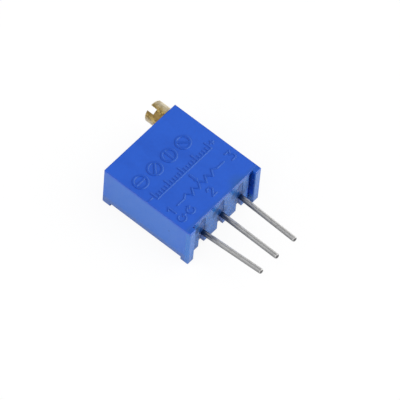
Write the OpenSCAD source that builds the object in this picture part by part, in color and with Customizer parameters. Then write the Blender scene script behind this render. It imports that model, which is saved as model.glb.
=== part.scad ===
// Multi-turn trimmer potentiometer: square sealed case, slotted adjusting screw, three pins in line.
// It lies on the feet of its back face. The pins point to -Y and the marked face is up.
// The origin is on the middle pin's axis, level with the tips of the pin side's feet.

/* [Case] */
// Width of the case, across the row of pins
case_width = 9.53; // [9.2:0.01:10.2]
// Height of the case, from the feet of the pin side to the screw side
case_height = 10.03; // [9.7:0.01:10.8]
// Depth of the case, from the back feet to the marked face
case_depth = 4.83; // [4.7:0.01:5.4]
// Thickness of the marked face's wall
front_wall = 0.48; // [0.4:0.01:0.6]
// Thickness of the two side walls
side_wall = 0.65; // [0.5:0.01:0.75]
// Thickness of the wall that the pins pass through
pin_wall = 0.4; // [0.35:0.01:0.5]
// Thickness of the screw side's wall over the back cavity
end_wall = 0.7; // [0.6:0.01:0.9]
// Radius of the case's outer edges
edge_round = 0.08; // [0.06:0.01:0.2]

/* [Feet] */
// Height of the pin side's feet, which hold the case off the board
pin_foot_high = 0.45; // [0.35:0.01:0.6]
// Width of each foot
foot_wide = 0.715; // [0.6:0.005:0.85]
// Height of the back feet
back_foot_high = 0.45; // [0.35:0.01:0.55]
// Length of each back foot, along the side wall
back_foot_long = 0.9; // [0.7:0.01:1.1]
// Radius of the back feet's outer corners
foot_round = 0.26; // [0.2:0.01:0.44]
// Width of the relief groove beside each foot
relief_wide = 0.33; // [0.24:0.01:0.4]
// Depth of the relief groove, from the pin side
relief_deep = 0.8; // [0.5:0.01:0.95]

/* [Pins] */
// Diameter of a terminal pin
pin_thick = 0.51; // [0.45:0.01:0.56]
// Distance between neighbouring pins
pin_pitch = 2.54; // [2.5:0.01:2.6]
// Height of the pins' axes over the plane of the back feet
pin_height = 2.41; // [2.35:0.01:2.5]
// Length of a pin beyond the pin side's feet
pin_reach = 6.15; // [5:0.01:7]
// Length of the bevel at a pin's tip
pin_bevel = 0.09; // [0.05:0.01:0.15]
// Sideways lean of the first pin, in degrees
lean_first = 3.1; // [-4:0.1:4]
// Sideways lean of the second pin, in degrees
lean_second = -0.6; // [-4:0.1:4]
// Sideways lean of the third pin, in degrees
lean_third = -1.8; // [-4:0.1:4]
// Width of the slot in the case wall at each pin
pin_slot_wide = 0.75; // [0.65:0.01:0.9]
// Distance from the marked face down to the top of each slot
pin_slot_drop = 0.45; // [0.35:0.01:0.6]

/* [Adjusting screw] */
// Distance from the screw's axis to the nearer side of the case
screw_inset = 1.185; // [1.15:0.005:1.3]
// Distance from the screw's axis to the marked face
screw_drop = 1.21; // [1.18:0.01:1.3]
// Diameter of the screw's head
head_thick = 2.19; // [2:0.01:2.3]
// Distance from the case to the top of the head
head_reach = 1.6; // [1.2:0.01:1.8]
// Bevel round the top of the head
head_bevel = 0.12; // [0.05:0.01:0.2]
// Width of the driver slot
slot_wide = 0.56; // [0.45:0.01:0.7]
// Depth of the driver slot
slot_deep = 0.74; // [0.5:0.01:0.8]
// Lean of the driver slot away from the marked face's normal, in degrees
slot_turn = 28; // [0:1:90]
// Diameter of the shaft in the case's bore
shaft_thick = 1.52; // [1.44:0.01:1.56]
// Radial clearance of every running fit
run_gap = 0.04; // [0.03:0.005:0.06]

/* [Worm drive] */
// Number of teeth on the worm wheel, one tooth for each turn of the screw
tooth_count = 30; // [28:1:31]
// Pitch of the worm
worm_pitch = 0.65; // [0.61:0.01:0.67]
// Outer diameter of the worm
worm_thick = 1.4; // [1.36:0.01:1.42]
// Diameter of the worm's core and of the inner journal
core_thick = 0.84; // [0.8:0.01:0.88]
// Number of turns on the worm
worm_turns = 5; // [4:1:5]
// Flank angle of the worm and of the wheel's teeth, in degrees
flank_angle = 20; // [15:1:22]
// Play between tooth and thread, along the worm
mesh_play = 0.1; // [0.08:0.01:0.14]
// Width of the wheel's toothed rim
rim_wide = 0.8; // [0.6:0.01:0.9]
// Height of the wheel's underside over the back feet
wheel_low = 3; // [2.95:0.01:3.05]

/* [Element] */
// Thickness of the ceramic plate
plate_thick = 0.635; // [0.5:0.005:0.7]
// Thickness of the printed films
film_thick = 0.03; // [0.025:0.005:0.04]
// Middle radius of the resistive track
track_radius = 2.3; // [2.2:0.01:2.35]
// Width of the resistive track
track_wide = 0.7; // [0.6:0.01:0.75]
// Half of the gap between the ends of the track, in degrees
track_gap = 22; // [20:1:24]

/* [Wiper] */
// Thickness of the contact spring
spring_thick = 0.1; // [0.08:0.01:0.12]
// Number of fingers on each arm
finger_count = 4; // [3:1:4]
// Width of one finger
finger_wide = 0.14; // [0.12:0.01:0.15]

/* [Marking] */
// Height of the raised marks over the marked face
mark_high = 0.06; // [0.04:0.01:0.09]
// Width of the large marks' strokes
mark_bold = 0.2; // [0.16:0.01:0.24]
// Width of the small marks' strokes
mark_fine = 0.13; // [0.1:0.01:0.16]
// Outer radius of the large screw-head marks
mark_radius = 0.76; // [0.7:0.01:0.8]

/* [Hidden] */
$fn = 48;

half = 0.5;
quarter = 90;
full = 360;
over = 1;
touch = 0.01;
sides = [-1, 1];
half_wide = case_width * half;
pin_places = [-pin_pitch, 0, pin_pitch];
pin_leans = [lean_first, lean_second, lean_third];
pin_radius = pin_thick * half;

// Planes of the case, from the feet of the pin side and from the back feet
seal_sunk = 0.05;
seal_face = back_foot_high + seal_sunk;
front_in = case_depth - front_wall;
plate_top = pin_height - pin_radius - film_thick;
plate_low = plate_top - plate_thick;
film_top = plate_top + film_thick;
plate_gap = 0.06;
pin_wall_in = pin_foot_high + pin_wall;
dam_thick = 0.65;
dam_past_pin = 0.9;
dam_in = pin_wall_in + dam_thick;
dam_half = pin_pitch + dam_past_pin;
bay_deep = 1.25;
bay_past_pin = 0.65;
bay_roof_gap = 0.05;
bay_in = dam_in + bay_deep;
bay_top = wheel_low - bay_roof_gap;
bay_half = pin_pitch + bay_past_pin;
room_half = half_wide - side_wall;
room_end = case_height - end_wall;
foot_in = half_wide - foot_wide;
relief_to_back = 0.15;
relief_to_front = 0.26;
relief_low = back_foot_high + relief_to_back;
relief_top = case_depth - relief_to_front;
relief_half = relief_wide * half;

// Slots and beads at the pins
slot_half = pin_slot_wide * half;
slot_top = case_depth - pin_slot_drop;
bead_back = pin_wall * half;
bead_sunk = 0.05;
bead_under_pin = 0.1;
bead_low = pin_height - bead_under_pin;

// Pins inside the case
pin_on_plate = 0.95;
pin_root = dam_in + pin_on_plate;

// Worm and wheel
screw_x = half_wide - screw_inset;
screw_z = case_depth - screw_drop;
worm_radius = worm_thick * half;
core_radius = core_thick * half;
mesh_gap = 0.055;
pitch_radius = tooth_count * worm_pitch / (2 * PI);
worm_mid = (worm_radius + core_radius) * half;
wheel_x = screw_x - worm_mid - pitch_radius;
wheel_y = 5.35;
ridge_steps = 24;
ridge_ramp = 0.25;
ridge_sunk = 0.05;
tip_radius = screw_x - wheel_x - core_radius - mesh_gap;
root_radius = screw_x - wheel_x - worm_radius - mesh_gap;
land = (worm_pitch - mesh_play) * half * half;
slope = tan(flank_angle);
lead_angle = atan(worm_pitch / (2 * PI * worm_mid));
wheel_front_gap = 0.13;
wheel_rim_gap = 0.2;
wheel_top = front_in - wheel_front_gap;
wheel_room = tip_radius + wheel_rim_gap;
rim_low = screw_z - rim_wide * half;

// Bearings of the wheel and of the screw
boss_radius = 0.72;
boss_short = 0.05;
boss_low = wheel_low + boss_short;
hub_radius = 1.42;
hub_gap = 0.02;
hub_top = front_in - hub_gap;
shaft_radius = shaft_thick * half;
bore_radius = shaft_radius + run_gap;
worm_half = worm_turns * worm_pitch * half;
worm_low = wheel_y - worm_half;
worm_top = wheel_y + worm_half;
neck_long = 0.2;
tunnel_low = worm_low - neck_long;
journal_long = 0.95;
journal_gap = 0.06;
head_gap = 0.05;
head_low = case_height + head_gap;
head_top = case_height + head_reach;
head_radius = head_thick * half;

// Groove with the ring seal, and groove with the clip
groove_radius = 0.48;
ring_groove_deep = 0.5;
ring_groove_wide = 0.4;
ring_groove_top = case_height - ring_groove_deep;
ring_play = 0.01;
ring_thick = bore_radius - groove_radius - ring_play;
clip_thick = 0.25;
clip_play = 0.05;
clip_grip_play = 0.02;
clip_slot_play = 0.02;
clip_deep = 1.6;
clip_middle = case_height - clip_deep;
clip_half = 0.83;
clip_past_axis = 0.45;
clip_top = screw_z + clip_past_axis;

// End stop of the wheel
stop_long = 0.3;
stop_end_gap = 0.1;
stop_low = wheel_top - stop_long;
channel_low = stop_low - stop_end_gap;
channel_in = 1.7;
channel_out = 2.45;
stop_gap = 0.08;
stop_half = 20;
lug_half = 9;

// Wiper
ring_in = 1.2;
ring_out = 1.75;
stake_place = (ring_in + ring_out) * half;
stake_radius = 0.15;
stake_play = 0.01;
stake_head = 0.24;
stake_head_high = 0.08;
tip_round = 0.09;
contact_gap = 0.005;
tip_z = film_top + contact_gap + tip_round;
spring_z = wheel_low - spring_thick * half;
arm_thick = 0.08;
arm_root = 0.1;
finger_gap = 0.05;
finger_step = finger_wide + finger_gap;
outer_arm_from = ring_out - arm_root;
inner_arm_from = ring_in + arm_root;
collector_in = 0.4;
collector_out = 1.12;
collector_radius = (collector_in + collector_out) * half;

// Films
pad_half = 0.55;
pad_edge_gap = 0.06;
pad_long = 1.04;
pad_from = dam_in + pad_edge_gap;
pad_to = pad_from + pad_long;
track_end = 10;
track_inset = 2;
trace_half = 0.2;
trace_lap = 0.05;
glaze_half = 0.36;
glaze_rise = 0.025;
glaze_gap = 0.13;
solder_radius = 0.42;
solder_sunk = 0.14;
solder_gap = 0.02;
solder_ahead = 0.3;
solder_from = dam_in + solder_gap + solder_radius;
solder_to = pin_root - solder_ahead;

// Marks on the marked face: rows and columns
large_row = 6.85;
large_first = -3.55;
large_step = 1.9;
large_count = 4;
scale_row = 4.6;
scale_first = -3.85;
scale_step = 0.36;
scale_ticks = 20;
scale_group = 5;
tick_short = 0.4;
tick_long = 0.8;
sign_half = 0.19;
sign_gap = 0.5;
symbol_row = 2.88;
symbol_x = -0.1;
zigzag_half = 2.2;
zigzag_peaks = 10;
zigzag_high = 0.3;
lead_end = 3.1;
digit_x = 3.95;
digit_high = 0.85;
digit_wide = 0.55;
arrow_top = 4.12;
arrow_half = 0.22;
arrow_long = 0.31;
digit_low_row = 1.65;
turn_x = -3.95;
turn_step = 1.15;
turn_row = 1.7;
turn_radius = 0.42;

// The case's own drawing has its zero at the back feet; the part's zero is at the pins' height
module placed() {
    translate([0, 0, -pin_height])
        children();
}

// Lays a drawing made along Z on the screw's axis
module on_screw(y) {
    translate([screw_x, y, screw_z])
        rotate([-quarter, 0, 0])
            children();
}

module on_wheel(z) {
    translate([wheel_x, wheel_y, z])
        children();
}

// Rectangle with its corners rounded, by one radius at the low side and one at the high side
module soft_rect(wide, high, low_round, high_round) {
    translate([0, low_round])
        square([wide, high - low_round - high_round]);
    translate([low_round, 0])
        square([wide - 2 * low_round, high * half]);
    translate([high_round, high * half])
        square([wide - 2 * high_round, high * half]);
    for (x = [low_round, wide - low_round])
        translate([x, low_round])
            circle(r = low_round);
    for (x = [high_round, wide - high_round])
        translate([x, high - high_round])
            circle(r = high_round);
}

module band(inner, outer) {
    difference() {
        circle(r = outer);
        circle(r = inner);
    }
}

// Wedge from one angle to another, less than half a turn apart
module wedge(from, to, reach) {
    middle = (from + to) * half;
    polygon([[0, 0], reach * [cos(from), sin(from)], 2 * reach * [cos(middle), sin(middle)],
        reach * [cos(to), sin(to)]]);
}

module sector(inner, outer, from, to) {
    intersection() {
        band(inner, outer);
        wedge(from, to, outer * 2);
    }
}

// Outline of the pin side's slot, arched at its top
module arch(low, top, half_width) {
    translate([-half_width, low])
        square([2 * half_width, top - half_width - low]);
    translate([0, top - half_width])
        circle(r = half_width);
}

// Stands an outline in X and Z up as a slab from one Y to another
module slab_y(from, to) {
    translate([0, to, 0])
        rotate([quarter, 0, 0])
            linear_extrude(height = to - from)
                children();
}

module case_outer() {
    intersection() {
        // plan: body and the two feet of the pin side
        translate([0, 0, -over])
            linear_extrude(height = case_depth + 2 * over)
                union() {
                    translate([-half_wide, pin_foot_high])
                        soft_rect(case_width, case_height - pin_foot_high, touch, edge_round);
                    for (x = [-half_wide, foot_in])
                        translate([x, 0])
                            soft_rect(foot_wide, back_foot_long, edge_round, touch);
                }
        // side view: back feet with rounded corners
        rotate([quarter, 0, quarter])
            linear_extrude(height = case_width + 2 * over, center = true)
                soft_rect(case_height, case_depth, foot_round, edge_round);
        // end view
        slab_y(-over, case_height + over)
            translate([-half_wide, 0])
                soft_rect(case_width, case_depth, edge_round, edge_round);
    }
}

module back_clear() {
    // between the back feet, along and across the case
    translate([-half_wide - over, back_foot_long, -over])
        cube([case_width + 2 * over, case_height - 2 * back_foot_long, over + back_foot_high]);
    translate([-foot_in, -over, -over])
        cube([2 * foot_in, case_height + 2 * over, over + back_foot_high]);
}

module rooms() {
    // room of the ceramic plate and the seal
    translate([-room_half, dam_in - touch, -over])
        cube([2 * room_half, room_end - dam_in + touch, plate_top + over]);
    // dam behind the pin wall, and bay over the solder joints
    translate([-dam_half, pin_wall_in, -over])
        cube([2 * dam_half, dam_in - pin_wall_in, bay_top + over]);
    translate([-bay_half, dam_in - touch, plate_low])
        cube([2 * bay_half, bay_in - dam_in + touch, bay_top - plate_low]);
    // round room of the worm wheel
    on_wheel(plate_low)
        cylinder(r = wheel_room, h = front_in - plate_low);
}

module pin_slots() {
    for (x = pin_places)
        translate([x, 0, 0]) {
            slab_y(pin_foot_high - over, pin_foot_high + pin_wall - bead_back)
                arch(-over, slot_top, slot_half);
            translate([-slot_half, pin_foot_high - over, -over])
                cube([pin_slot_wide, over + pin_wall + touch, bay_top + over]);
        }
}

module reliefs() {
    for (side = sides)
        slab_y(-over, pin_foot_high + relief_deep)
            translate([side * (foot_in - relief_half), 0])
                union() {
                    translate([-relief_half, relief_low + relief_half])
                        square([relief_wide, relief_top - relief_low - relief_wide]);
                    for (z = [relief_low + relief_half, relief_top - relief_half])
                        translate([0, z])
                            circle(r = relief_half);
                }
}

module bores() {
    // bore of the shaft and the worm, then the blind bearing of the inner journal
    on_screw(tunnel_low)
        cylinder(r = bore_radius, h = case_height - tunnel_low + over);
    on_screw(tunnel_low - journal_long - journal_gap)
        cylinder(r = core_radius + run_gap, h = journal_long + journal_gap + touch);
    // pocket of the clip, open to the back
    pocket_half = clip_half + clip_slot_play;
    pocket_long = clip_thick + 2 * clip_slot_play;
    translate([screw_x - pocket_half, clip_middle - pocket_long * half, plate_low])
        cube([2 * pocket_half, pocket_long, clip_top + clip_slot_play - plate_low]);
}

module case_body() {
    difference() {
        union() {
            difference() {
                case_outer();
                back_clear();
                rooms();
                pin_slots();
                reliefs();
            }
            // boss that the wheel turns on, and its end stop
            on_wheel(boss_low)
                cylinder(r = boss_radius, h = front_in - boss_low + front_wall * half);
            on_wheel(stop_low)
                linear_extrude(height = front_in - stop_low + front_wall * half)
                    sector(channel_in + stop_gap, channel_out - stop_gap,
                        -quarter - stop_half, -quarter + stop_half);
        }
        bores();
    }
    marks();
}

// A raised stroke between two points of the marked face
module stroke(from, to, wide) {
    run = to - from;
    translate(from)
        rotate([0, 0, atan2(run[1], run[0])])
            translate([-wide * half, -wide * half])
                square([norm(run) + wide, wide]);
}

module path(points, wide) {
    for (i = [0:len(points) - 2])
        stroke(points[i], points[i + 1], wide);
}

module screw_mark(turn) {
    band(mark_radius - mark_bold, mark_radius);
    rotate([0, 0, turn])
        square([2 * mark_radius - mark_bold, mark_bold], center = true);
}

// Head of an arrow: its base is centred on zero and it points to +Y
module arrow_point() {
    polygon([[-arrow_half, 0], [arrow_half, 0], [0, arrow_long]]);
}

// Open ring with an arrow at one of its ends; side is 1 or -1 for the way it turns
module turn_mark(side) {
    middle_radius = turn_radius - mark_fine * half;
    difference() {
        band(turn_radius - mark_fine, turn_radius);
        wedge(0, quarter, turn_radius * 2);
    }
    translate(side > 0 ? [middle_radius, 0] : [0, middle_radius])
        rotate([0, 0, side > 0 ? 0 : -quarter])
            arrow_point();
}

// Digits, drawn in steps of half their half width and of a quarter of their half height
module digit(corners) {
    w = digit_wide * half * half;
    h = digit_high * half * half * half;
    path([for (c = corners) [c[0] * w, c[1] * h]], mark_fine);
}

module one() {
    digit([[-2, 2], [0, 4], [0, -4]]);
}

module two() {
    digit([[-2, 2], [-1, 4], [1, 4], [2, 2], [2, 1], [-2, -4], [2, -4]]);
}

module three() {
    digit([[-2, 4], [2, 4], [0, 1], [2, -1], [2, -3], [1, -4], [-2, -4]]);
}

module marks_outline() {
    // four screw heads, each turned one step further
    for (i = [0:large_count - 1])
        translate([large_first + i * large_step, large_row])
            screw_mark(i * quarter * half);
    // graduated line between a minus and a plus
    scale_last = scale_first + scale_ticks * scale_step;
    stroke([scale_first, scale_row], [scale_last, scale_row], mark_fine);
    for (i = [0:scale_ticks])
        translate([scale_first + i * scale_step, scale_row])
            stroke([0, 0], [0, i % scale_group == 0 ? tick_long : tick_short], mark_fine);
    for (x = [scale_first - sign_gap, scale_last + sign_gap])
        translate([x, scale_row + tick_short])
            union() {
                stroke([-sign_half, 0], [sign_half, 0], mark_fine);
                if (x > 0)
                    stroke([0, -sign_half], [0, sign_half], mark_fine);
            }
    // circuit symbol: resistor with an arrow, and the numbers of the pins
    translate([symbol_x, symbol_row])
        union() {
            path([for (i = [0:zigzag_peaks]) [zigzag_half * (2 * i / zigzag_peaks - 1),
                i % zigzag_peaks == 0 ? 0 : (i % 2 == 0 ? -zigzag_high : zigzag_high)]], mark_fine);
            for (side = sides)
                stroke([side * zigzag_half, 0], [side * lead_end, 0], mark_fine);
        }
    translate([-digit_x, symbol_row])
        one();
    translate([digit_x, symbol_row])
        three();
    translate([symbol_x, digit_low_row])
        two();
    stroke([symbol_x, symbol_row + zigzag_high + arrow_long], [symbol_x, arrow_top], mark_bold);
    translate([symbol_x, symbol_row + zigzag_high + arrow_long])
        mirror([0, 1])
            arrow_point();
    // arrows for the two ways of turning
    translate([turn_x, turn_row])
        turn_mark(1);
    translate([turn_x + turn_step, turn_row])
        turn_mark(-1);
}

module marks() {
    translate([0, 0, case_depth - touch])
        linear_extrude(height = mark_high + touch)
            marks_outline();
}

module plate_block() {
    translate([-room_half + plate_gap, dam_in, plate_low])
        cube([2 * (room_half - plate_gap), room_end - plate_gap - dam_in, plate_thick]);
}

// Straight part of the pins inside the case
module pin_cores(radius) {
    for (x = pin_places)
        translate([x, pin_foot_high, pin_height])
            rotate([-quarter, 0, 0])
                cylinder(r = radius, h = pin_root - pin_foot_high);
}

module back_fill() {
    difference() {
        union() {
            translate([-room_half, dam_in, seal_face])
                cube([2 * room_half, room_end - dam_in, plate_low - seal_face]);
            translate([-dam_half, pin_wall_in, seal_face])
                cube([2 * dam_half, dam_in - pin_wall_in, bay_top - seal_face]);
        }
        pin_cores(pin_radius);
    }
}

module beads() {
    difference() {
        for (x = pin_places)
            translate([x, 0, 0])
                union() {
                    slab_y(pin_foot_high + bead_sunk, pin_foot_high + pin_wall - bead_back)
                        arch(bead_low, slot_top, slot_half);
                    translate([-slot_half, pin_foot_high + bead_sunk, bead_low])
                        cube([pin_slot_wide, pin_wall - bead_sunk, bay_top - bead_low]);
                }
        pin_cores(pin_radius);
    }
}

// One wire: the length in the case and the leaned free length meet on the plane of the bend
module pin(i) {
    free = pin_reach + pin_foot_high - pin_bevel;
    lean = pin_leans[i];
    translate([pin_places[i], pin_foot_high, pin_height]) {
        difference() {
            rotate([-quarter, 0, 0])
                translate([0, 0, -pin_radius])
                    cylinder(r = pin_radius, h = pin_root - pin_foot_high + pin_radius);
            rotate([0, 0, lean * half])
                translate([-over, -2 * over, -over])
                    cube(2 * over);
        }
        difference() {
            rotate([0, 0, lean])
                rotate([quarter, 0, 0])
                    union() {
                        translate([0, 0, -pin_radius])
                            cylinder(r = pin_radius, h = free + pin_radius);
                        translate([0, 0, free])
                            cylinder(r1 = pin_radius, r2 = pin_radius - pin_bevel, h = pin_bevel);
                    }
            rotate([0, 0, lean * half])
                translate([-over, 0, -over])
                    cube(2 * over);
        }
    }
}

// One turn of the worm's ridge after another, left-handed, sunk into the core
module worm_ridge() {
    steps = worm_turns * ridge_steps;
    inner = core_radius - ridge_sunk;
    function height(i) = min(1, (min(i, steps - i) + 1) / (ridge_steps * ridge_ramp + 1));
    function outer(i) = inner + (worm_radius - inner) * height(i);
    function half_at(radius) = land + (worm_mid - radius) * slope;
    function turned_by(i) = 2 * quarter - full * i / ridge_steps;
    function at(i, radius, side) = [radius * cos(turned_by(i)), radius * sin(turned_by(i)),
        worm_pitch * i / ridge_steps + side * half_at(radius)];
    points = [for (i = [0:steps]) each [at(i, inner, -1), at(i, outer(i), -1),
        at(i, outer(i), 1), at(i, inner, 1)]];
    skin = [for (i = [0:steps - 1], k = [0:3]) let (n = (k + 1) % 4, a = 4 * i, b = 4 * i + 4)
        each [[b + n, a + n, a + k], [b + k, b + n, a + k]]];
    last = 4 * steps;
    ends = [[0, 1, 2], [0, 2, 3], [last + 2, last + 1, last], [last + 3, last + 2, last]];
    polyhedron(points = points, faces = concat(skin, ends), convexity = 2 * worm_turns);
}

// A plain turned length of the screw
module turned(from, to, radius) {
    on_screw(from)
        cylinder(r = radius, h = to - from);
}

module screw_body() {
    groove_low = ring_groove_top - ring_groove_wide;
    clip_low = clip_middle - clip_thick * half - clip_play;
    clip_high = clip_middle + clip_thick * half + clip_play;
    // journal, neck and core
    turned(tunnel_low - journal_long, clip_low, core_radius);
    // collar, groove, shaft, groove, shaft
    turned(worm_top + 2 * neck_long, clip_low, shaft_radius);
    turned(clip_low - touch, clip_high + touch, groove_radius);
    turned(clip_high, groove_low, shaft_radius);
    turned(groove_low - touch, ring_groove_top + touch, groove_radius);
    turned(ring_groove_top, head_low + touch, shaft_radius);
    difference() {
        union() {
            turned(head_low, head_top - head_bevel, head_radius);
            on_screw(head_top - head_bevel)
                cylinder(r1 = head_radius, r2 = head_radius - head_bevel, h = head_bevel);
        }
        on_screw(head_top - slot_deep)
            rotate([0, 0, quarter - slot_turn])
                translate([-head_thick, -slot_wide * half, 0])
                    cube([2 * head_thick, slot_wide, slot_deep + over]);
    }
    on_screw(worm_low)
        worm_ridge();
}

module ring_seal() {
    on_screw(ring_groove_top - ring_groove_wide * half)
        rotate_extrude()
            translate([groove_radius + ring_thick * half, 0])
                circle(d = ring_thick);
}

module clip() {
    grip = groove_radius + clip_grip_play;
    slab_y(clip_middle - clip_thick * half, clip_middle + clip_thick * half)
        difference() {
            translate([screw_x - clip_half, plate_top])
                square([2 * clip_half, clip_top - plate_top]);
            translate([screw_x, screw_z])
                circle(r = grip);
            translate([screw_x - grip, screw_z])
                square([2 * grip, over]);
        }
}

// Half of a tooth's width at a distance from the wheel's axis
function half_tooth(radius) = land + (pitch_radius - radius) * slope;

// Teeth, leaned by the worm's lead angle and faced off level with the rim
module wheel_teeth() {
    base = root_radius - mesh_play;
    intersection() {
        union() {
            for (i = [0:tooth_count - 1])
                rotate([0, 0, full * i / tooth_count])
                    translate([0, 0, screw_z])
                        rotate([lead_angle, 0, 0])
                            linear_extrude(height = 2 * rim_wide, center = true)
                                polygon([[base, -half_tooth(base)], [tip_radius, -half_tooth(tip_radius)],
                                    [tip_radius, half_tooth(tip_radius)], [base, half_tooth(base)]]);
        }
        translate([0, 0, rim_low])
            cylinder(r = tip_radius + over, h = rim_wide);
    }
}

module wheel_body() {
    on_wheel(0)
        union() {
            difference() {
                union() {
                    translate([0, 0, wheel_low])
                        cylinder(r = root_radius, h = wheel_top - wheel_low);
                    wheel_teeth();
                    translate([0, 0, wheel_top - touch])
                        cylinder(r = hub_radius, h = hub_top - wheel_top + touch);
                }
                translate([0, 0, wheel_low - over])
                    cylinder(r = boss_radius + run_gap, h = front_in + over);
                // channel of the end stop, all but the lug
                translate([0, 0, channel_low])
                    linear_extrude(height = over)
                        difference() {
                            band(channel_in, channel_out);
                            wedge(quarter - lug_half, quarter + lug_half, channel_out * 2);
                        }
            }
            // posts that hold the wiper, melted over at their ends
            for (side = sides)
                translate([side * stake_place, 0, wheel_low - spring_thick - stake_head_high]) {
                    cylinder(r = stake_radius, h = spring_thick + stake_head_high + touch);
                    cylinder(r = stake_head, h = stake_head_high);
                }
        }
}

// Fingers of one arm, from the ring down to the film
module fingers(from, to) {
    run = to - from;
    drop = spring_z - tip_z;
    long = sqrt(run * run + drop * drop);
    for (i = [0:finger_count - 1])
        translate([(i - (finger_count - 1) * half) * finger_step, 0, 0])
            union() {
                translate([0, from, spring_z])
                    rotate([atan2(-drop, run), 0, 0])
                        translate([-finger_wide * half, 0, -arm_thick * half])
                            cube([finger_wide, long, arm_thick]);
                translate([-finger_wide * half, to, tip_z])
                    rotate([0, quarter, 0])
                        cylinder(r = tip_round, h = finger_wide);
            }
}

module wiper_body() {
    web = finger_count * finger_step;
    on_wheel(0)
        union() {
            translate([0, 0, wheel_low - spring_thick])
                linear_extrude(height = spring_thick)
                    difference() {
                        union() {
                            band(ring_in, ring_out);
                            translate([-web * half, ring_out - spring_thick])
                                square([web, spring_thick * 2]);
                        }
                        for (side = sides)
                            translate([side * stake_place, 0])
                                circle(r = stake_radius + stake_play);
                    }
            fingers(outer_arm_from, track_radius);
            rotate([0, 0, 2 * quarter])
                fingers(inner_arm_from, collector_radius);
        }
}

module track_outline() {
    difference() {
        band(track_radius - track_wide * half, track_radius + track_wide * half);
        wedge(-quarter - track_gap, -quarter + track_gap, track_radius * 3);
    }
}

module film(low, high) {
    translate([0, 0, low])
        linear_extrude(height = high - low)
            children();
}

// Pad under an outer pin, with the trace to that end of the track; side is -1 or 1
module end_film(side) {
    out = track_radius + track_wide * half;
    near = -quarter + side * (track_gap - track_end);
    far = -quarter + side * track_gap;
    corner = near + side * track_inset * half;
    join = far - side * track_inset;
    // corners of the trace, listed clockwise for the side of pin 3
    trace = [[side * pin_pitch, pad_to - touch], [side * pin_pitch, pad_from + pad_half],
        [side * (pin_pitch - pad_half + trace_lap), pad_from + pad_half],
        [wheel_x, wheel_y] + (out - trace_half * half) * [cos(corner), sin(corner)],
        [wheel_x, wheel_y] + (out - trace_half) * [cos(join), sin(join)],
        [wheel_x, wheel_y] + (out + trace_lap) * [cos(join), sin(join)]];
    film(plate_top, film_top)
        difference() {
            union() {
                translate([side * pin_pitch - pad_half, pad_from])
                    square([2 * pad_half, pad_to - pad_from]);
                translate([wheel_x, wheel_y])
                    sector(track_radius - track_wide * half, out, min(near, far), max(near, far));
                polygon([for (k = [1:len(trace)]) trace[side > 0 ? len(trace) - k : k - 1]]);
            }
            translate([wheel_x, wheel_y])
                track_outline();
        }
}

// Pad under the middle pin, its trace to the wheel's axis and the collector ring round that axis
module middle_outline() {
    translate([-pad_half, pad_from])
        square([2 * pad_half, pad_to - pad_from]);
    path([[0, pad_to - trace_half], [wheel_x, pad_to - trace_half + glaze_gap]], 2 * trace_half);
    translate([wheel_x - trace_half, pad_to - trace_half])
        square([2 * trace_half, wheel_y - collector_radius - pad_to + trace_half]);
    translate([wheel_x, wheel_y])
        band(collector_in, collector_out);
}

module glaze() {
    low = pad_to + 2 * glaze_gap;
    long = wheel_y - collector_out - glaze_gap - low;
    translate([wheel_x, low, plate_top])
        difference() {
            translate([-glaze_half, 0, 0])
                cube([2 * glaze_half, long, film_thick + glaze_rise]);
            translate([-trace_half, -over, -over])
                cube([2 * trace_half, long + 2 * over, over + film_thick]);
        }
}

module solder(i) {
    x = pin_places[i];
    difference() {
        translate([x, 0, pin_height - solder_sunk])
            union() {
                translate([0, solder_from, 0])
                    rotate([-quarter, 0, 0])
                        cylinder(r = solder_radius, h = solder_to - solder_from);
                for (y = [solder_from, solder_to])
                    translate([0, y, 0])
                        sphere(r = solder_radius);
            }
        translate([x - over, 0, film_top - over])
            cube([2 * over, case_height, over]);
        pin_cores(pin_radius);
    }
}

module case() {
    color([0.1, 0.25, 0.7])
        placed()
            case_body();
}

module back_seal() {
    color([0.15, 0.3, 0.65])
        placed()
            back_fill();
}

module pin_seals() {
    color([0.35, 0.48, 0.62])
        placed()
            beads();
}

module pin_1() {
    color([0.8, 0.8, 0.8])
        placed()
            pin(0);
}

module pin_2() {
    color([0.8, 0.8, 0.8])
        placed()
            pin(1);
}

module pin_3() {
    color([0.8, 0.8, 0.8])
        placed()
            pin(2);
}

module adjusting_screw() {
    color([0.75, 0.6, 0.3])
        placed()
            screw_body();
}

module o_ring() {
    color([0.5, 0.15, 0.1])
        placed()
            ring_seal();
}

module retainer_clip() {
    color([0.6, 0.6, 0.62])
        placed()
            clip();
}

module worm_wheel() {
    color([0.9, 0.88, 0.8])
        placed()
            wheel_body();
}

module wiper() {
    color([0.85, 0.7, 0.4])
        placed()
            wiper_body();
}

module ceramic_plate() {
    color([0.93, 0.93, 0.9])
        placed()
            plate_block();
}

module resistive_track() {
    color([0.12, 0.12, 0.13])
        placed()
            film(plate_top, film_top)
                translate([wheel_x, wheel_y])
                    track_outline();
}

module conductor_1() {
    color([0.75, 0.74, 0.7])
        placed()
            end_film(-1);
}

module conductor_2() {
    color([0.75, 0.74, 0.7])
        placed()
            film(plate_top, film_top)
                middle_outline();
}

module conductor_3() {
    color([0.75, 0.74, 0.7])
        placed()
            end_film(1);
}

module solder_1() {
    color([0.65, 0.65, 0.66])
        placed()
            solder(0);
}

module solder_2() {
    color([0.65, 0.65, 0.66])
        placed()
            solder(1);
}

module solder_3() {
    color([0.65, 0.65, 0.66])
        placed()
            solder(2);
}

module overglaze() {
    color([0.2, 0.45, 0.3])
        placed()
            glaze();
}

case();
back_seal();
pin_seals();
pin_1();
pin_2();
pin_3();
adjusting_screw();
o_ring();
retainer_clip();
worm_wheel();
wiper();
ceramic_plate();
resistive_track();
conductor_1();
conductor_2();
conductor_3();
solder_1();
solder_2();
solder_3();
overglaze();
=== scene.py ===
import math

import bmesh
import bpy
from mathutils import Matrix, Vector, noise


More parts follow.
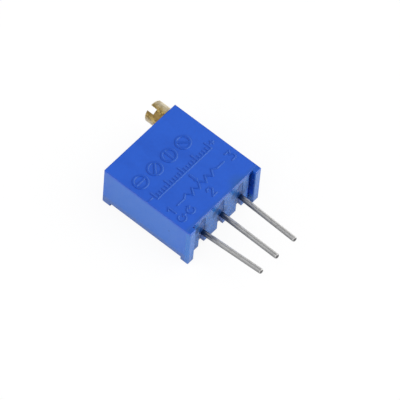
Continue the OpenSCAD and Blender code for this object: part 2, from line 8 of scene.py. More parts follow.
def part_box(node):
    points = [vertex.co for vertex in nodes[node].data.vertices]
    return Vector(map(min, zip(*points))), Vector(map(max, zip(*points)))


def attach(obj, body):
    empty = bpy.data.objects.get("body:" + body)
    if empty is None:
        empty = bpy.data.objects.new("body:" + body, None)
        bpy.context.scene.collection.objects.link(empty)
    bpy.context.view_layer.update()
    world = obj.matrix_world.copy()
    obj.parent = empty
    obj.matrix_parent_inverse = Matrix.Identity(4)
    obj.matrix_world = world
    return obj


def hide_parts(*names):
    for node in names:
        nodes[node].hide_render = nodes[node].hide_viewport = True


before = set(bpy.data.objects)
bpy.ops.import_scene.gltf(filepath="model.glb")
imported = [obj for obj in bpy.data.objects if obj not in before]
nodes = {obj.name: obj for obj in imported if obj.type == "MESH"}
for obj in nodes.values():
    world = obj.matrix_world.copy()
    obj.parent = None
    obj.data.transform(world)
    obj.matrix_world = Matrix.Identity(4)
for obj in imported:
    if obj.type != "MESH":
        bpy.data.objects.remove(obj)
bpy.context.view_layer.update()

# Camera: a long lens 44 cm away, above the pin side and turned towards the plain side wall.
# It aims at the middle of the case, then moves sideways and down, so the part lies up and left.
MM = 0.001
AZIMUTH = math.radians(-53.83)
ELEVATION = math.radians(56.40)
ROLL = math.radians(5.38)
DISTANCE = 438.5 * MM
SIDEWAYS = 1.625 * MM
DOWN = 1.40 * MM
FOCAL_LENGTH = 448
SENSOR_WIDTH = 36
NEAREST = 0.01
FARTHEST = 10

case_low, case_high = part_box("case")
case_middle = Vector((0, (case_low.y + case_high.y) / 2, (case_low.z + case_high.z) / 2))
backward = Vector((
    math.sin(AZIMUTH) * math.cos(ELEVATION),
    -math.cos(AZIMUTH) * math.cos(ELEVATION),
    math.sin(ELEVATION),
))
level_right = (-backward).cross(Vector((0, 0, 1))).normalized()
level_up = level_right.cross(-backward)
rightward = level_right * math.cos(ROLL) + level_up * math.sin(ROLL)
upward = level_up * math.cos(ROLL) - level_right * math.sin(ROLL)

camera_data = bpy.data.cameras.new("camera")
camera_data.lens = FOCAL_LENGTH
camera_data.sensor_width = SENSOR_WIDTH
camera_data.clip_start = NEAREST
camera_data.clip_end = FARTHEST
camera = bpy.data.objects.new("camera", camera_data)
eye = case_middle + backward * DISTANCE + rightward * SIDEWAYS - upward * DOWN
turned = Matrix((rightward, upward, backward)).transposed()
camera.matrix_world = Matrix.Translation(eye) @ turned.to_4x4()
bpy.context.scene.collection.objects.link(camera)
bpy.context.scene.camera = camera
bpy.context.scene.view_settings.view_transform = "Standard"


# Studio: a pale sweep in dim even light, with a broad softbox to the left and one to the right.
# The camera sees the sweep and the room as white; the part sees them as they are lit.
class Wire:
    """The output of a shader node. Arithmetic on it adds Math nodes to the same tree."""

    def __init__(self, tree, socket=None):
        self.tree, self.socket = tree, socket

    def node(self, kind, settings=None, inputs=None, out=0):
        """Adds a node: its settings first, then the values or wires of its sockets."""
        made = self.tree.nodes.new(kind)
        for name, value in (settings or {}).items():
            setattr(made, name, value)
        for name, value in (inputs or {}).items():
            if isinstance(value, Wire):
                self.tree.links.new(value.socket, made.inputs[name])
            else:
                made.inputs[name].default_value = value
        return Wire(self.tree, made.outputs[out]) if made.outputs else None

    def maths(self, operation, *values):
        return self.node("ShaderNodeMath", {"operation": operation}, dict(enumerate(values)))

    def __add__(self, other):
        return self.maths("ADD", self, other)

    def __radd__(self, other):
        return self.maths("ADD", other, self)

    def __sub__(self, other):
        return self.maths("SUBTRACT", self, other)

    def __rsub__(self, other):
        return self.maths("SUBTRACT", other, self)

    def __mul__(self, other):
        return self.maths("MULTIPLY", self, other)

    def __rmul__(self, other):
        return self.maths("MULTIPLY", other, self)

    def __abs__(self):
        return self.maths("ABSOLUTE", self)

    def root(self):
        return self.maths("SQRT", self)

    def least(self, other):
        return self.maths("MINIMUM", self, other)

    def most(self, other):
        return self.maths("MAXIMUM", self, other)


def seen_directly(start):
    """1 for what the camera sees, straight or through glass, and 0 otherwise."""
    straight = start.node("ShaderNodeLightPath", out="Is Camera Ray")
    return straight.most(start.node("ShaderNodeLightPath", out="Is Transmission Ray"))


SKY_LIGHT = 0.42
SOFTBOXES = {  # where it stands from the case, its width in metres and its watts
    "left_softbox": ((-0.75, 0.20, 0.63), 1.00, 4.4),
    "right_softbox": ((0.50, -0.52, 0.70), 0.90, 4.4),
}
LAMP_DISTANCE = 0.70
FLOOR_HALF = 1.5
FLOOR_WHITE = (0.92, 0.92, 0.92, 1)
FLOOR_GLOW = 0.90
WHITE = (1, 1, 1, 1)

world = bpy.data.worlds.new("studio")
world.use_nodes = True
world.node_tree.nodes.clear()
sky = Wire(world.node_tree)
sky_level = SKY_LIGHT + seen_directly(sky) * (1 - SKY_LIGHT)
sky_shader = sky.node("ShaderNodeBackground", inputs={"Color": WHITE, "Strength": sky_level})
sky.node("ShaderNodeOutputWorld", inputs={"Surface": sky_shader})
bpy.context.scene.world = world

for name, (direction, width, watts) in SOFTBOXES.items():
    lamp_data = bpy.data.lights.new(name, "AREA")
    lamp_data.shape = "SQUARE"
    lamp_data.size = width
    lamp_data.energy = watts
    lamp = bpy.data.objects.new(name, lamp_data)
    towards = Vector(direction).normalized()
    lamp.location = case_middle + towards * LAMP_DISTANCE
    lamp.rotation_euler = towards.to_track_quat("Z", "Y").to_euler()
    bpy.context.scene.collection.objects.link(lamp)

floor_data = bpy.data.meshes.new("sweep")
floor_data.from_pydata(
    [(x * FLOOR_HALF, y * FLOOR_HALF, case_low.z) for x, y in ((-1, -1), (1, -1), (1, 1), (-1, 1))],
    [],
    [(0, 1, 2, 3)],
)
floor = bpy.data.objects.new("sweep", floor_data)
bpy.context.scene.collection.objects.link(floor)
floor_paper = bpy.data.materials.new("white_sweep")
floor_paper.use_nodes = True
floor_paper.node_tree.nodes.clear()
paper = Wire(floor_paper.node_tree)
matte = paper.node("ShaderNodeBsdfDiffuse", inputs={"Color": FLOOR_WHITE})
glow = paper.node("ShaderNodeEmission", inputs={"Color": WHITE, "Strength": 1})
glowing = seen_directly(paper) * FLOOR_GLOW
paper_mix = paper.node("ShaderNodeMixShader", inputs={0: glowing, 1: matte, 2: glow})
paper.node("ShaderNodeOutputMaterial", inputs={"Surface": paper_mix})
floor_data.materials.append(floor_paper)


# Case: a one-piece box of glass-filled polyester, moulded in blue and open at the back.
# The marked face comes satin from a spark-cut mould. The side faces are painted paler and greener as a
# painted sheen. The pin side is polished, with painted shade and painted reflections of the pins round
# them, and the marked face is darker along the pin side's edge.
def start_finish(name):
    """An empty material, and the place of a point on the piece in millimetres."""
    made = bpy.data.materials.new(name)
    made.use_nodes = True
    made.node_tree.nodes.clear()
    place = Wire(made.node_tree).node("ShaderNodeTexCoord", out="Object")
    scale = {0: place, "Scale": 1 / MM}
    return made, place.node("ShaderNodeVectorMath", {"operation": "SCALE"}, scale)


def stretched(vector, factors):
    return vector.node("ShaderNodeVectorMath", {"operation": "MULTIPLY"}, {0: vector, 1: factors})


def along(vector, axis):
    return vector.node("ShaderNodeSeparateXYZ", inputs={0: vector}, out=axis)


def mottle(place, size, detail=2.0, roughness=0.5):
    """Smooth noise from 0 to 1, with patches some size millimetres across."""
    values = {"Vector": place, "Scale": 1 / size, "Detail": detail, "Roughness": roughness}
    return place.node("ShaderNodeTexNoise", inputs=values)


def rise(value, low, high):
    """0 up to low, 1 from high on, and smooth between them."""
    values = {"Value": value, "From Min": low, "From Max": high}
    return value.node("ShaderNodeMapRange", {"interpolation_type": "SMOOTHSTEP"}, values)


def fall(value, low, high):
    """1 up to low, 0 from high on, and smooth between them."""
    return 1 - rise(value, low, high)


def near(place, spot, inner, outer):
    """1 within the inner distance of a spot, falling to 0 at the outer one."""
    ends = {0: place, 1: spot}
    gap = place.node("ShaderNodeVectorMath", {"operation": "DISTANCE"}, ends, "Value")
    return fall(gap, inner, outer)


def from_pin(place):
    """Distance in millimetres from the nearest pin's axis."""
    middle = abs(along(place, 0))
    sideways = middle.least(abs(middle - PIN_PITCH))
    height = along(place, 2)
    return (sideways * sideways + height * height).root()


def facing(place, axis):
    """How squarely the surface faces along the piece's own axis, from -1 to 1."""
    return along(place.node("ShaderNodeTexCoord", out="Normal"), axis)


def eased(place, radius):
    """Normal rounded over the edges."""
    return place.node("ShaderNodeBevel", {"samples": 6}, {"Radius": radius * MM})


def pointing(normal, direction):
    """How far a normal points in a direction, from -1 to 1."""
    pair = {0: normal, 1: direction}
    return normal.node("ShaderNodeVectorMath", {"operation": "DOT_PRODUCT"}, pair, "Value")


def edge_of(rounded):
    """How far a rounded normal leans from the flat face: 0 on a face, and more at its edges."""
    return 1 - pointing(rounded, rounded.node("ShaderNodeNewGeometry", out="True Normal"))


def hollow(place, reach):
    """0 on open faces, up to 1 deep in a gap, for what lies within reach millimetres."""
    inputs = {"Distance": reach * MM}
    return 1 - place.node("ShaderNodeAmbientOcclusion", {"samples": 6}, inputs, "AO")


def relief(height, normal):
    """Normal of a surface that stands height millimetres proud."""
    inputs = {"Height": height, "Distance": MM, "Normal": normal}
    return height.node("ShaderNodeBump", inputs=inputs)


def tinted(amount, low, high):
    """Colour that goes from low to high as the amount goes from 0 to 1."""
    inputs = {0: amount, 6: low, 7: high}
    return amount.node("ShaderNodeMix", {"data_type": "RGBA"}, inputs, out=2)


def layered(colour, *layers):
    """Colour under more that lie over it in turn, each given as where, how dense and what colour."""
    for where, density, over in layers:
        colour = tinted(where * density, colour, over)
    return colour


def finish(made, place, inputs, pieces):
    """Ends the material in one shader and gives it to the pieces."""
    shader = place.node("ShaderNodeBsdfPrincipled", inputs=inputs)
    place.node("ShaderNodeOutputMaterial", inputs={"Surface": shader})
    for piece in pieces:
        if not piece.material_slots:
            piece.data.materials.append(made)
        for held in piece.material_slots:
            held.material = made


PIN_PITCH = 2.54
PIN_SIDE = 0.45
BACK_FOOT = 0.45
MARK_HIGH = 0.06
DAM_HALF = 3.44
side_wall = case_high.x / MM
screw_side = case_high.y / MM
marked_face = case_high.z / MM - MARK_HIGH
back_rim = case_low.z / MM + BACK_FOOT

BLUE = (0.010, 0.090, 0.53, 1)
BLUE_DEEP = (0.003, 0.060, 0.41, 1)
BLUE_SIDE_SHEEN = (0.034, 0.140, 0.51, 1)
BLUE_POLISHED = (0.016, 0.138, 0.49, 1)
BLUE_PALE = (0.09, 0.23, 0.66, 1)
BLUE_SHADE = (0.001, 0.012, 0.10, 1)
BLUE_POCKET = (0.005, 0.050, 0.36, 1)
BLUE_SILL = (0.018, 0.080, 0.60, 1)
BLUE_PIN_SHADE = (0.014, 0.056, 0.19, 1)
BLUE_EDGE_DARK = (0.020, 0.080, 0.13, 1)
BLUE_FLOOR_SHADE = (0.08, 0.14, 0.34, 1)
FLOOR_BOUNCE_PALE = (0.27, 0.36, 0.62, 1)
GRIME = (0.02, 0.05, 0.18, 1)

# Where one finish gives way to the next: from and to, along the case or out from its middle
MARK_TOPS = (marked_face + 0.005, marked_face + 0.05)
MARK_FLANKS = (marked_face - 0.025, marked_face - 0.015)
MARKS_FROM = (PIN_SIDE + 0.15, PIN_SIDE + 0.35)
MARKS_TO = (screw_side - 0.53, screw_side - 0.33)
MARKS_WITHIN = (side_wall - 0.465, side_wall - 0.265)
OFF_FACE = (marked_face - 0.44, marked_face - 0.06)
POLISH_END = (PIN_SIDE + 0.01, PIN_SIDE + 0.06)
FOOT_TIP = (0.02, 0.10)
SHEEN_FACE = (side_wall - 0.065, side_wall - 0.015)
SHEEN_START = (PIN_SIDE + 0.15, PIN_SIDE + 1.95)
SHEEN_END = (screw_side - 1.83, screw_side - 0.23)
# Painted shade: darker and greyer below a wavy line along the back edge, which lies on the floor
FLOOR_SHADE_LINE = (back_rim + 0.25, back_rim + 0.75)
FLOOR_SHADE_WAVER = 0.5
LEDGE_FROM = (PIN_SIDE + 0.01, PIN_SIDE + 0.05)
LEDGE_TO = (PIN_SIDE + 0.45, PIN_SIDE + 0.55)
LEDGE_TOP = (back_rim + 0.76, back_rim + 1.26)
LEDGE_WITHIN = (DAM_HALF - 0.14, DAM_HALF - 0.04)
SHADE_FROM = (back_rim + 0.56, back_rim + 1.26)
SHADE_TO = (marked_face - 0.12, marked_face - 0.02)

# How far the surface turns where an edge, a rim or a mark's flank begins and ends
EDGE_LEAN = (0.02, 0.3)
RIM_STARTS = (0.15, 0.45)
RIM_ENDS = (0.90, 0.99)
RIM_TO_PINS = (0.2, 0.5)
FLANK_LEAN = (0.05, 0.4)
FLANK_SLANT = (-0.6, 0.8, 0)

# Painted shade and painted reflections of the pins on the pin side: a ring round each pin, a run above
# it, and a patch past the last one
PIN_SHADE_RING = (0.4, 1.1)
PIN_SHADE_RUN_ASIDE = -0.6
PIN_SHADE_RUN_HIGH = 0.95
PIN_SHADE_RUN_SIZE = (0.35, 0.85)
PIN_SHADE_PATCH = (PIN_PITCH + 0.9, PIN_SIDE, 0.7)
PIN_SHADE_PATCH_SIZE = (0.3, 1.1)
# Darker on the marked face along the pin side's edge, and in a spot by the last pin's slot
EDGE_DARK_END = (PIN_SIDE + 0.05, PIN_SIDE + 0.40)
EDGE_DARK_SPOT = (2.2, PIN_SIDE, marked_face)
EDGE_DARK_SIZE = (0.3, 1.3)

# Scar of the mould's gate, on the plain side wall
GATE_SPOT = (-side_wall, 2.4, 0.59)
GATE_SIZE = (0.05, 0.13)

# Relief grooves beside the feet: slots with round ends about a middle line from low to top.
# Their insides are painted dark as painted shade, and paler towards the low end as painted light.
POCKET_ASIDE = 3.88
POCKET_LOW = -1.12
POCKET_TOP = 1.97
POCKET_WALL = (0.18, 0.30)
POCKET_FROM = (0, 0.2)
POCKET_TO = (1.3, 1.4)
POCKET_SILL = (back_rim + 0.36, back_rim + 2.16)

moulding, at = start_finish("blue_moulding")
x, y, z = (along(at, axis) for axis in range(3))
aside = abs(x)
turned_up = facing(at, 2)
rounded = eased(at, 0.035)
flow = mottle(stretched(at, (1, 0.3, 1)), 1.6, detail=3)
cloud = mottle(at, 0.35, detail=3, roughness=0.6)
spark = mottle(at, 0.05, detail=2, roughness=0.6)
scuff = mottle(stretched(at, (0.7, 6, 3)), 0.5)

clouded = rise(flow, 0.35, 0.7) * 0.35 + rise(cloud, 0.3, 0.75) * 0.2
on_mark = rise(z, *MARK_TOPS)
off_face = fall(z, *OFF_FACE)
polished = fall(y, *POLISH_END)
foot_tip = fall(y, *FOOT_TIP)
# The side faces are painted paler and greener, a painted sheen, weaker towards their ends.
sheen_ends = rise(y, *SHEEN_END) + fall(y, *SHEEN_START)
side_sheen = rise(aside, *SHEEN_FACE) * off_face * (0.85 + cloud * 0.3 - sheen_ends * 0.22)
edge = rise(edge_of(rounded), *EDGE_LEAN)
rounding = rise(turned_up, *RIM_STARTS) * fall(turned_up, *RIM_ENDS)
rim = rounding * (1 - on_mark)
to_pins = rise(0 - facing(at, 1), *RIM_TO_PINS)
# Painted shade along the back edge by the floor, weaker on the pin side
floor_shade = fall(z + (cloud - 0.5) * FLOOR_SHADE_WAVER, *FLOOR_SHADE_LINE) * (0.7 - polished * 0.4)
# The slots' walls near the floor are painted pale: painted light from below
ledge = rise(y, *LEDGE_FROM) * fall(y, *LEDGE_TO) * fall(z, *LEDGE_TOP) * fall(aside, *LEDGE_WITHIN)
shaded = rise(hollow(at, 0.6), 0.25, 0.65) * rise(z, *SHADE_FROM) * fall(z, *SHADE_TO)

# Painted shade and painted reflections of the pins on the polished pin side
pin_shade = fall(from_pin(at), *PIN_SHADE_RING)
for pin_x in (-PIN_PITCH, 0, PIN_PITCH):
    run = (pin_x + PIN_SHADE_RUN_ASIDE, PIN_SIDE, PIN_SHADE_RUN_HIGH)
    pin_shade = pin_shade.most(near(at, run, *PIN_SHADE_RUN_SIZE))
pin_shade = pin_shade.most(near(at, PIN_SHADE_PATCH, *PIN_SHADE_PATCH_SIZE) * 0.5)
pin_shade = pin_shade * polished * (0.55 + rise(cloud, 0.35, 0.6) * 0.45)
# Darker along the pin side's edge of the marked face, and in one spot
edge_darkened = fall(y, *EDGE_DARK_END) * 0.2 + near(at, EDGE_DARK_SPOT, *EDGE_DARK_SIZE) * 0.25
edge_darkened = edge_darkened * rise(turned_up, *RIM_ENDS)

# Which way each mark's flank faces, for its painted shade and painted highlight
slant = pointing(eased(at, 0.12), FLANK_SLANT)
marked = rise(z, *MARK_FLANKS) * fall(aside, *MARKS_WITHIN)
marked = marked * rise(y, *MARKS_FROM) * fall(y, *MARKS_TO)

across = aside - POCKET_ASIDE
beyond = (z - POCKET_TOP).most(POCKET_LOW - z).most(0)
pocket = fall((across * across + beyond * beyond).root(), *POCKET_WALL)
pocket = pocket * rise(y, *POCKET_FROM) * fall(y, *POCKET_TO)

blue = layered(
    BLUE,
    (clouded, 1, BLUE_DEEP),
    (side_sheen, 1, BLUE_SIDE_SHEEN),
    (polished * off_face, 1, BLUE_POLISHED),
    (pin_shade, 0.85, BLUE_PIN_SHADE),
    (foot_tip * off_face, 0.4, BLUE_PALE),
    (floor_shade, 1, BLUE_FLOOR_SHADE),
    # Edges painted paler, most on the polished pin side: a painted highlight
    (edge * (0.1 + polished * 0.6), 1, BLUE_PALE),
    # The rounded rim of the marked face: painted shade where it turns away from the pins, and a
    # painted highlight where it turns to them
    (rim * (1 - to_pins), 0.7, BLUE_DEEP),
    (rim * to_pins, 0.85, BLUE_PALE),
    (edge_darkened, 1, BLUE_EDGE_DARK),
    # The marks' tops are painted darker: painted shade
    (on_mark, 0.6, BLUE_DEEP),
    # The marks' flanks: painted shade on those facing along FLANK_SLANT, and a painted highlight on
    # the others
    (rise(slant, *FLANK_LEAN) * marked, 0.8, BLUE_DEEP),
    (rise(0 - slant, *FLANK_LEAN) * marked, 0.65, BLUE_PALE),
    (near(at, GATE_SPOT, *GATE_SIZE), 0.5, GRIME),
    (ledge, 0.8, FLOOR_BOUNCE_PALE),
    (shaded, 1, BLUE_SHADE),
    (pocket, 1, tinted(rise(z, *POCKET_SILL), BLUE_SILL, BLUE_POCKET)),
)
gloss = 0.40 + (cloud - 0.5) * 0.12 - rise(scuff, 0.62, 0.75) * 0.06
gloss = gloss - on_mark * 0.08 - polished * 0.17 + rounding * 0.2 + pin_shade * 0.25
grain = (spark * 0.0035 + flow * 0.012) * (1 - polished * 0.7)
finish(
    moulding,
    at,
    {"Base Color": blue, "Roughness": gloss, "Normal": relief(grain, rounded), "IOR": 1.45},
    [nodes["case"]],
)

# Potting: blue-grey epoxy poured in from the back, over the ceramic plate and round the pins.
# It sets glossy and a little hollow, and creeps up the walls and along each pin.
MERGED = 1e-7
NEARLY_LEVEL = 1e-5
NEARLY_SQUARE = 0.9
SHARP_FROM = math.radians(38)


def refaced(node, name, axis, spacing, lift):
    """A copy of a CAD node, its lowest face along an axis cut into a grid and lifted."""
    low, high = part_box(node)
    shape = bmesh.new()
    shape.from_mesh(nodes[node].data)
    bmesh.ops.remove_doubles(shape, verts=shape.verts, dist=MERGED)
    shape.normal_update()

    def on_face():
        return [
            face for face in shape.faces
            if face.normal[axis] < -NEARLY_SQUARE
            and abs(face.calc_center_median()[axis] - low[axis]) < NEARLY_LEVEL
        ]

    for across in (other for other in range(3) if other != axis):
        count = round((high[across] - low[across]) / (spacing * MM))
        square_to = Vector([float(other == across) for other in range(3)])
        for i in range(1, count):
            spot = square_to * (low[across] + (high[across] - low[across]) * i / count)
            faces = on_face()
            edges = {edge for face in faces for edge in face.edges}
            verts = {vert for face in faces for vert in face.verts}
            cut = [*faces, *edges, *verts]
            bmesh.ops.bisect_plane(shape, geom=cut, dist=MERGED, plane_co=spot, plane_no=square_to)
    for vert in {vert for face in on_face() for vert in face.verts}:
        vert.co[axis] -= lift(vert.co / MM) * MM
    made = bpy.data.meshes.new(name)
    shape.to_mesh(made)
    shape.free()
    made.shade_smooth()
    made.set_sharp_from_angle(angle=SHARP_FROM)
    piece = bpy.data.objects.new(name, made)
    bpy.context.scene.collection.objects.link(piece)
    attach(piece, "case_body")
    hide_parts(node)
    return piece


BACK_GRID = 0.1
BEAD_GRID = 0.05
seal_low, seal_high = (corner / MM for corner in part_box("back_seal"))
bead_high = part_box("pin_seals")[1] / MM
bead_half = bead_high.x - PIN_PITCH
bead_centre = bead_high.z - bead_half

ROOM_FROM = 1.5
PIN_RADIUS = 0.255

# The set resin's skin in millimetres: its heights and depths, how far each spreads, and its waves
SINK = 0.07
SINK_SPREAD = 0.9
CREEP = 0.042
CREEP_SPREAD = 0.14
WAVE = 0.014
WAVES_PER_MM = 0.55
WAVE_SLICE = 0.3
PIT = 0.05
PIT_SPREAD = 0.13
PITS = ((-2.3, 6.4), (1.5, 3.6), (2.9, 7.9), (-0.6, 8.2))
COLLAR = 0.09
COLLAR_SPREAD = 0.08
BEAD_CREEP = 0.04
BEAD_CREEP_SPREAD = 0.05
BEAD_WAVE = 0.008
BEAD_WAVES_PER_MM = 3
BEAD_WAVE_SLICE = 1.7


def poured(at):
    """How far the resin of the back stands out of its flat level, in millimetres."""
    side = abs(at.x)
    if at.y < ROOM_FROM:
        wall = min(DAM_HALF - side, at.y - seal_low.y)
    else:
        corner = math.hypot(max(DAM_HALF - side, 0), at.y - ROOM_FROM)
        wall = min(seal_high.x - side, seal_high.y - at.y, corner)
    wall = max(wall, 0)
    sunk = SINK * (1 - math.exp(-wall / SINK_SPREAD))
    in_noise = Vector((at.x * WAVES_PER_MM, at.y * WAVES_PER_MM, WAVE_SLICE))
    wave = WAVE * noise.noise(in_noise) * min(1, wall)
    pits = sum(math.exp(-(math.hypot(at.x - x, at.y - y) / PIT_SPREAD) ** 2) for x, y in PITS)
    return CREEP * math.exp(-wall / CREEP_SPREAD) - sunk + wave - PIT * pits


def beaded(at):
    """The same for the beads in the three slots: up the slot's walls and along the pin."""
    x = at.x - PIN_PITCH * round(at.x / PIN_PITCH)
    from_wall = bead_half - (abs(x) if at.z < bead_centre else math.hypot(x, at.z - bead_centre))
    from_wire = math.hypot(x, at.z) - PIN_RADIUS
    creep = BEAD_CREEP * math.exp(-max(from_wall, 0) / BEAD_CREEP_SPREAD)
    collar = COLLAR * math.exp(-max(from_wire, 0) / COLLAR_SPREAD)
    in_noise = Vector((at.x * BEAD_WAVES_PER_MM, at.z * BEAD_WAVES_PER_MM, BEAD_WAVE_SLICE))
    return creep + collar + BEAD_WAVE * noise.noise(in_noise)


potting = refaced("back_seal", "potting_back", 2, BACK_GRID, poured)
beads = refaced("pin_seals", "potting_beads", 1, BEAD_GRID, beaded)

RESIN = (0.004, 0.055, 0.27, 1)
RESIN_PALE = (0.020, 0.105, 0.37, 1)
RESIN_SHADE = (0.008, 0.030, 0.13, 1)
SHADE_ROUND_PIN = (PIN_RADIUS, 0.85)
SHADE_ROUND_PIN_TO = (PIN_SIDE + 0.15, PIN_SIDE + 0.45)
BOUNCE_TOP = (back_rim + 0.96, back_rim + 1.46)
BOUNCE_TO = (PIN_SIDE + 0.45, PIN_SIDE + 0.65)

epoxy, at = start_finish("potting")
y, z = along(at, 1), along(at, 2)
swirl = mottle(at, 0.9, detail=4, roughness=0.6)
dust = mottle(at, 0.09)
resin = layered(
    RESIN,
    (rise(swirl, 0.3, 0.65), 1, RESIN_PALE),
    (rise(hollow(at, 0.5), 0.2, 0.6), 1, RESIN_SHADE),
    # Painted shade round each pin's root
    (fall(from_pin(at), *SHADE_ROUND_PIN) * fall(y, *SHADE_ROUND_PIN_TO), 0.8, RESIN_SHADE),
    # Paler low down by the pin side, near the floor: painted light from below
    (fall(z, *BOUNCE_TOP) * fall(y, *BOUNCE_TO), 1, FLOOR_BOUNCE_PALE),
)
finish(
    epoxy,
    at,
    {
        "Base Color": resin,
        "Roughness": 0.24 + rise(dust, 0.55, 0.8) * 0.12,
        "Normal": relief(swirl * 0.012 + dust * 0.001, eased(at, 0.03)),
        "IOR": 1.30,
    },
    [potting, beads],
)

# Pins: three tinned copper wires, cropped at their tips and soldered to the plate inside.
# The dipped tin is drawn out along the wire. One side is painted bright, a painted highlight, and the
# other dull, painted shade. Near the case it is painted dark and blue as painted shade and a painted
# reflection of the case, and the cropping left a bright ring and a dark end at each tip.
TIN = (0.36, 0.36, 0.36, 1)
TIN_DULL = (0.20, 0.20, 0.20, 1)
TIN_DARK = (0.012, 0.030, 0.085, 1)
TIN_BRIGHT = (0.90, 0.89, 0.87, 1)
TIN_ROOT_SHADE = (0.012, 0.036, 0.10, 1)
TIN_CROPPED = (0.05, 0.05, 0.055, 1)
pin_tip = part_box("pin_2")[0].y / MM
CROPPED_END = (pin_tip + 0.03, pin_tip + 0.08)
CROPPED_RING = (pin_tip + 0.15, pin_tip + 0.20)
STREAKED_ROOT = (-2.0, 0.0)
TIN_SHADED_ROOT = (-0.45, 0.3)
TIN_SHADED_SIDE = (-0.75, -0.35)
TIN_LIT_FROM = (-0.20, 0.50)
TIN_LIT_TO = (0.80, 0.98)

tin, at = start_finish("tinned_wire")
y = along(at, 1)
to_side = facing(at, 0)
drawn = mottle(stretched(at, (9, 0.6, 9)), 0.5, detail=3, roughness=0.6)
patch = mottle(at, 0.4, detail=3)
streak = mottle(stretched(at, (3, 0.4, 3)), 0.5)
metal = layered(
    TIN,
    (rise(patch, 0.45, 0.75) * 0.4 + rise(drawn, 0.5, 0.7) * 0.3, 1, TIN_DULL),
    # The other side painted dull: painted shade
    (fall(to_side, *TIN_SHADED_SIDE), 0.5, TIN_DULL),
    # One side painted bright: a painted highlight
    (rise(to_side, *TIN_LIT_FROM) * (1 - rise(to_side, *TIN_LIT_TO) * 0.6), 1, TIN_BRIGHT),
    # Dark blue streaks and a dark blue root near the case: painted shade and a painted reflection of
    # the case
    (rise(y, *STREAKED_ROOT) * (0.15 + rise(streak, 0.42, 0.58) * 0.75), 1, TIN_DARK),
    (rise(y, *TIN_SHADED_ROOT), 1, TIN_ROOT_SHADE),
    (fall(y, *CROPPED_RING), 0.2, TIN_BRIGHT),
    (fall(y, *CROPPED_END), 0.85, TIN_CROPPED),
)
finish(
    tin,
    at,
    {
        "Base Color": metal,
        "Metallic": 1.0,
        "Roughness": 0.42 + drawn * 0.14,
        "Normal": relief(drawn * 0.006 + patch * 0.004, eased(at, 0.02)),
    },
    [nodes["pin_1"], nodes["pin_2"], nodes["pin_3"]],
)

# Adjusting screw: turned brass, with a slot sawn right across its head for a small driver.
# Cutting rings run round the head. Its end is dark with tarnish, and its edges are worn bright.
# One flank is painted dark as painted shade. The other flank and the underside are painted bright as
# painted highlights, and carry less of the stain.
BRASS = (0.60, 0.44, 0.16, 1)
BRASS_DARK = (0.16, 0.105, 0.035, 1)
BRASS_BRIGHT = (0.92, 0.85, 0.68, 1)
SLOT_DEEP = 0.74
slot_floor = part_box("adjusting_screw")[1].y / MM - SLOT_DEEP
TARNISHED_END = (slot_floor - 0.35, slot_floor + 0.30)
LESS_STAIN_FROM = (-0.3, 0.1)
BRASS_LIT_FROM = (-0.2, 0.5)
BRASS_LIT_TO = (0.75, 0.95)
BRASS_LIT_BELOW = (-0.3, 0.45)
DARK_FROM = (-0.98, -0.75)
DARK_TO = (-0.50, -0.25)
DARK_ABOVE = (0.2, 0.5)

brass, at = start_finish("turned_brass")
to_side, to_face = facing(at, 0), facing(at, 2)
rounded = eased(at, 0.03)
rings = mottle(stretched(at, (0.3, 14, 0.3)), 0.6)
stain = mottle(at, 0.28, detail=4, roughness=0.7)
past_brass_lit = rise(to_side, *BRASS_LIT_TO)
less_stain_where_lit = rise(to_side, *LESS_STAIN_FROM) * (1 - past_brass_lit)
brass_lit = rise(to_side, *BRASS_LIT_FROM) * (1 - past_brass_lit * 0.6) + fall(to_face, *BRASS_LIT_BELOW)
dark_flank = rise(to_side, *DARK_FROM) * fall(to_side, *DARK_TO) * rise(to_face, *DARK_ABOVE)
metal = layered(
    BRASS,
    # Less stain on the flank with the painted highlight
    (rise(stain, 0.44, 0.60) * (0.85 - less_stain_where_lit * 0.6), 1, BRASS_DARK),
    (rise(along(at, 1), *TARNISHED_END), 0.25, BRASS_DARK),
    # One flank painted dark: painted shade
    (dark_flank, 0.9, BRASS_DARK),
    # The other flank and the underside painted bright: painted highlights
    (brass_lit.least(1) * (0.7 - rise(stain, 0.5, 0.6) * 0.35), 1, BRASS_BRIGHT),
    (rise(edge_of(rounded), *EDGE_LEAN), 0.5, BRASS_BRIGHT),
)
finish(
    brass,
    at,
    {
        "Base Color": metal,
        "Metallic": 1.0,
        "Roughness": 0.34 + stain * 0.2,
        "Normal": relief(rings * 0.006 + stain * 0.003, rounded),
    },
    [nodes["adjusting_screw"]],
)


# O-ring: a nitrile ring in the screw's groove, which keeps washing fluid out and drags on the screw.
# It is moulded, matte and lightly greased.
def grained(name, members, grain, colours, roughness, high, rounding, metallic=0.0):
    """A finish whose colour, roughness and height all go from one value to another with its grain."""
    made, at = start_finish(name)
    size, detail, stretch = grain
    speck = mottle(stretched(at, stretch), size, detail)
    smooth, rough = roughness
    finish(
        made,
        at,
        {
            "Base Color": tinted(speck, *colours),
            "Metallic": metallic,
            "Roughness": smooth + speck * (rough - smooth),
            "Normal": relief(speck * high, eased(at, rounding)),
        },
        [nodes[member] for member in members],
    )


EVENLY = (1, 1, 1)
RUBBER = (0.20, 0.03, 0.02, 1)
RUBBER_BLOOM = (0.30, 0.06, 0.04, 1)
grained(
    "ring_rubber",
    ["o_ring"],
    grain=(0.15, 3, EVENLY),
    colours=(RUBBER, RUBBER_BLOOM),
    roughness=(0.45, 0.60),
    high=0.004,
    rounding=0.02,
)

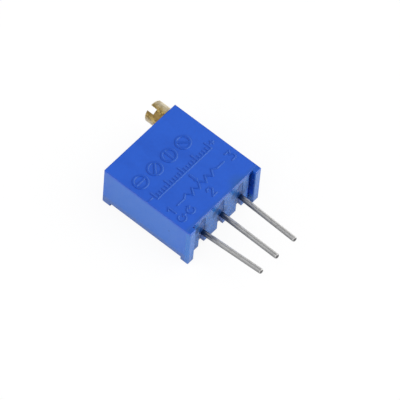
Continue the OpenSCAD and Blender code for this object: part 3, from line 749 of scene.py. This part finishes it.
# Clip: spring steel stamped with an open mouth, pushed over the screw's second groove from the back.
# Its faces are rolled and its edges are sheared.
STEEL = (0.42, 0.42, 0.43, 1)
STEEL_BRIGHT = (0.58, 0.58, 0.58, 1)
grained(
    "stamped_steel",
    ["retainer_clip"],
    grain=(0.4, 3, (8, 1, 0.5)),
    colours=(STEEL, STEEL_BRIGHT),
    roughness=(0.28, 0.43),
    high=0.003,
    rounding=0.02,
    metallic=1.0,
)

# Worm wheel: moulded acetal with thirty teeth, which turns on a boss of the case.
# Two posts on it are melted over to hold the wiper.
ACETAL = (0.78, 0.75, 0.66, 1)
ACETAL_PALE = (0.86, 0.84, 0.77, 1)
grained(
    "natural_acetal",
    ["worm_wheel"],
    grain=(0.6, 3, EVENLY),
    colours=(ACETAL, ACETAL_PALE),
    roughness=(0.38, 0.48),
    high=0.004,
    rounding=0.03,
)

# Wiper: a beryllium copper spring with two sets of bent fingers, which press on the films.
# It is blanked and formed from bright strip.
COPPER = (0.80, 0.58, 0.30, 1)
COPPER_BRIGHT = (0.90, 0.70, 0.42, 1)
grained(
    "spring_copper",
    ["wiper"],
    grain=(0.3, 3, (6, 0.5, 2)),
    colours=(COPPER, COPPER_BRIGHT),
    roughness=(0.20, 0.32),
    high=0.002,
    rounding=0.015,
    metallic=1.0,
)

# Ceramic plate: a fired square of white alumina that carries the printed element.
# It is ground flat and its edges are snapped along scribed lines.
ALUMINA = (0.80, 0.79, 0.75, 1)
ALUMINA_PALE = (0.88, 0.87, 0.84, 1)
grained(
    "alumina",
    ["ceramic_plate"],
    grain=(0.08, 3, EVENLY),
    colours=(ALUMINA, ALUMINA_PALE),
    roughness=(0.50, 0.65),
    high=0.004,
    rounding=0.02,
)

# Films: the resistive track is a fired glass and metal oxide paste, and the conductors are silver.
# Both are screened on to the plate, so their faces keep a faint print of the mesh.
TRACK = (0.012, 0.012, 0.013, 1)
TRACK_PALE = (0.03, 0.03, 0.032, 1)
SILVER = (0.50, 0.49, 0.45, 1)
SILVER_BRIGHT = (0.62, 0.61, 0.57, 1)
SCREEN_PRINT = {"grain": (0.05, 2, EVENLY), "roughness": (0.40, 0.60), "high": 0.003, "rounding": 0.01}
conductors = ["conductor_1", "conductor_2", "conductor_3"]
grained("track_film", ["resistive_track"], colours=(TRACK, TRACK_PALE), **SCREEN_PRINT)
grained("silver_film", conductors, colours=(SILVER, SILVER_BRIGHT), metallic=0.9, **SCREEN_PRINT)

# Solder joints: bright tin-lead, flowed over each pin's flattened end and its silver pad.
# They cool with a faintly frosted skin.
SOLDER = (0.52, 0.52, 0.53, 1)
SOLDER_FROST = (0.68, 0.68, 0.69, 1)
grained(
    "solder",
    ["solder_1", "solder_2", "solder_3"],
    grain=(0.12, 3, EVENLY),
    colours=(SOLDER, SOLDER_FROST),
    roughness=(0.20, 0.40),
    high=0.005,
    rounding=0.02,
    metallic=1.0,
)

# Overglaze: green glass fired over the middle trace, where the wiper's contacts pass above it.
# It is thin and glossy, with rounded edges.
GLAZE = (0.03, 0.16, 0.07, 1)
GLAZE_POOLED = (0.06, 0.26, 0.11, 1)
grained(
    "green_glaze",
    ["overglaze"],
    grain=(0.2, 3, EVENLY),
    colours=(GLAZE, GLAZE_POOLED),
    roughness=(0.12, 0.18),
    high=0.003,
    rounding=0.02,
)
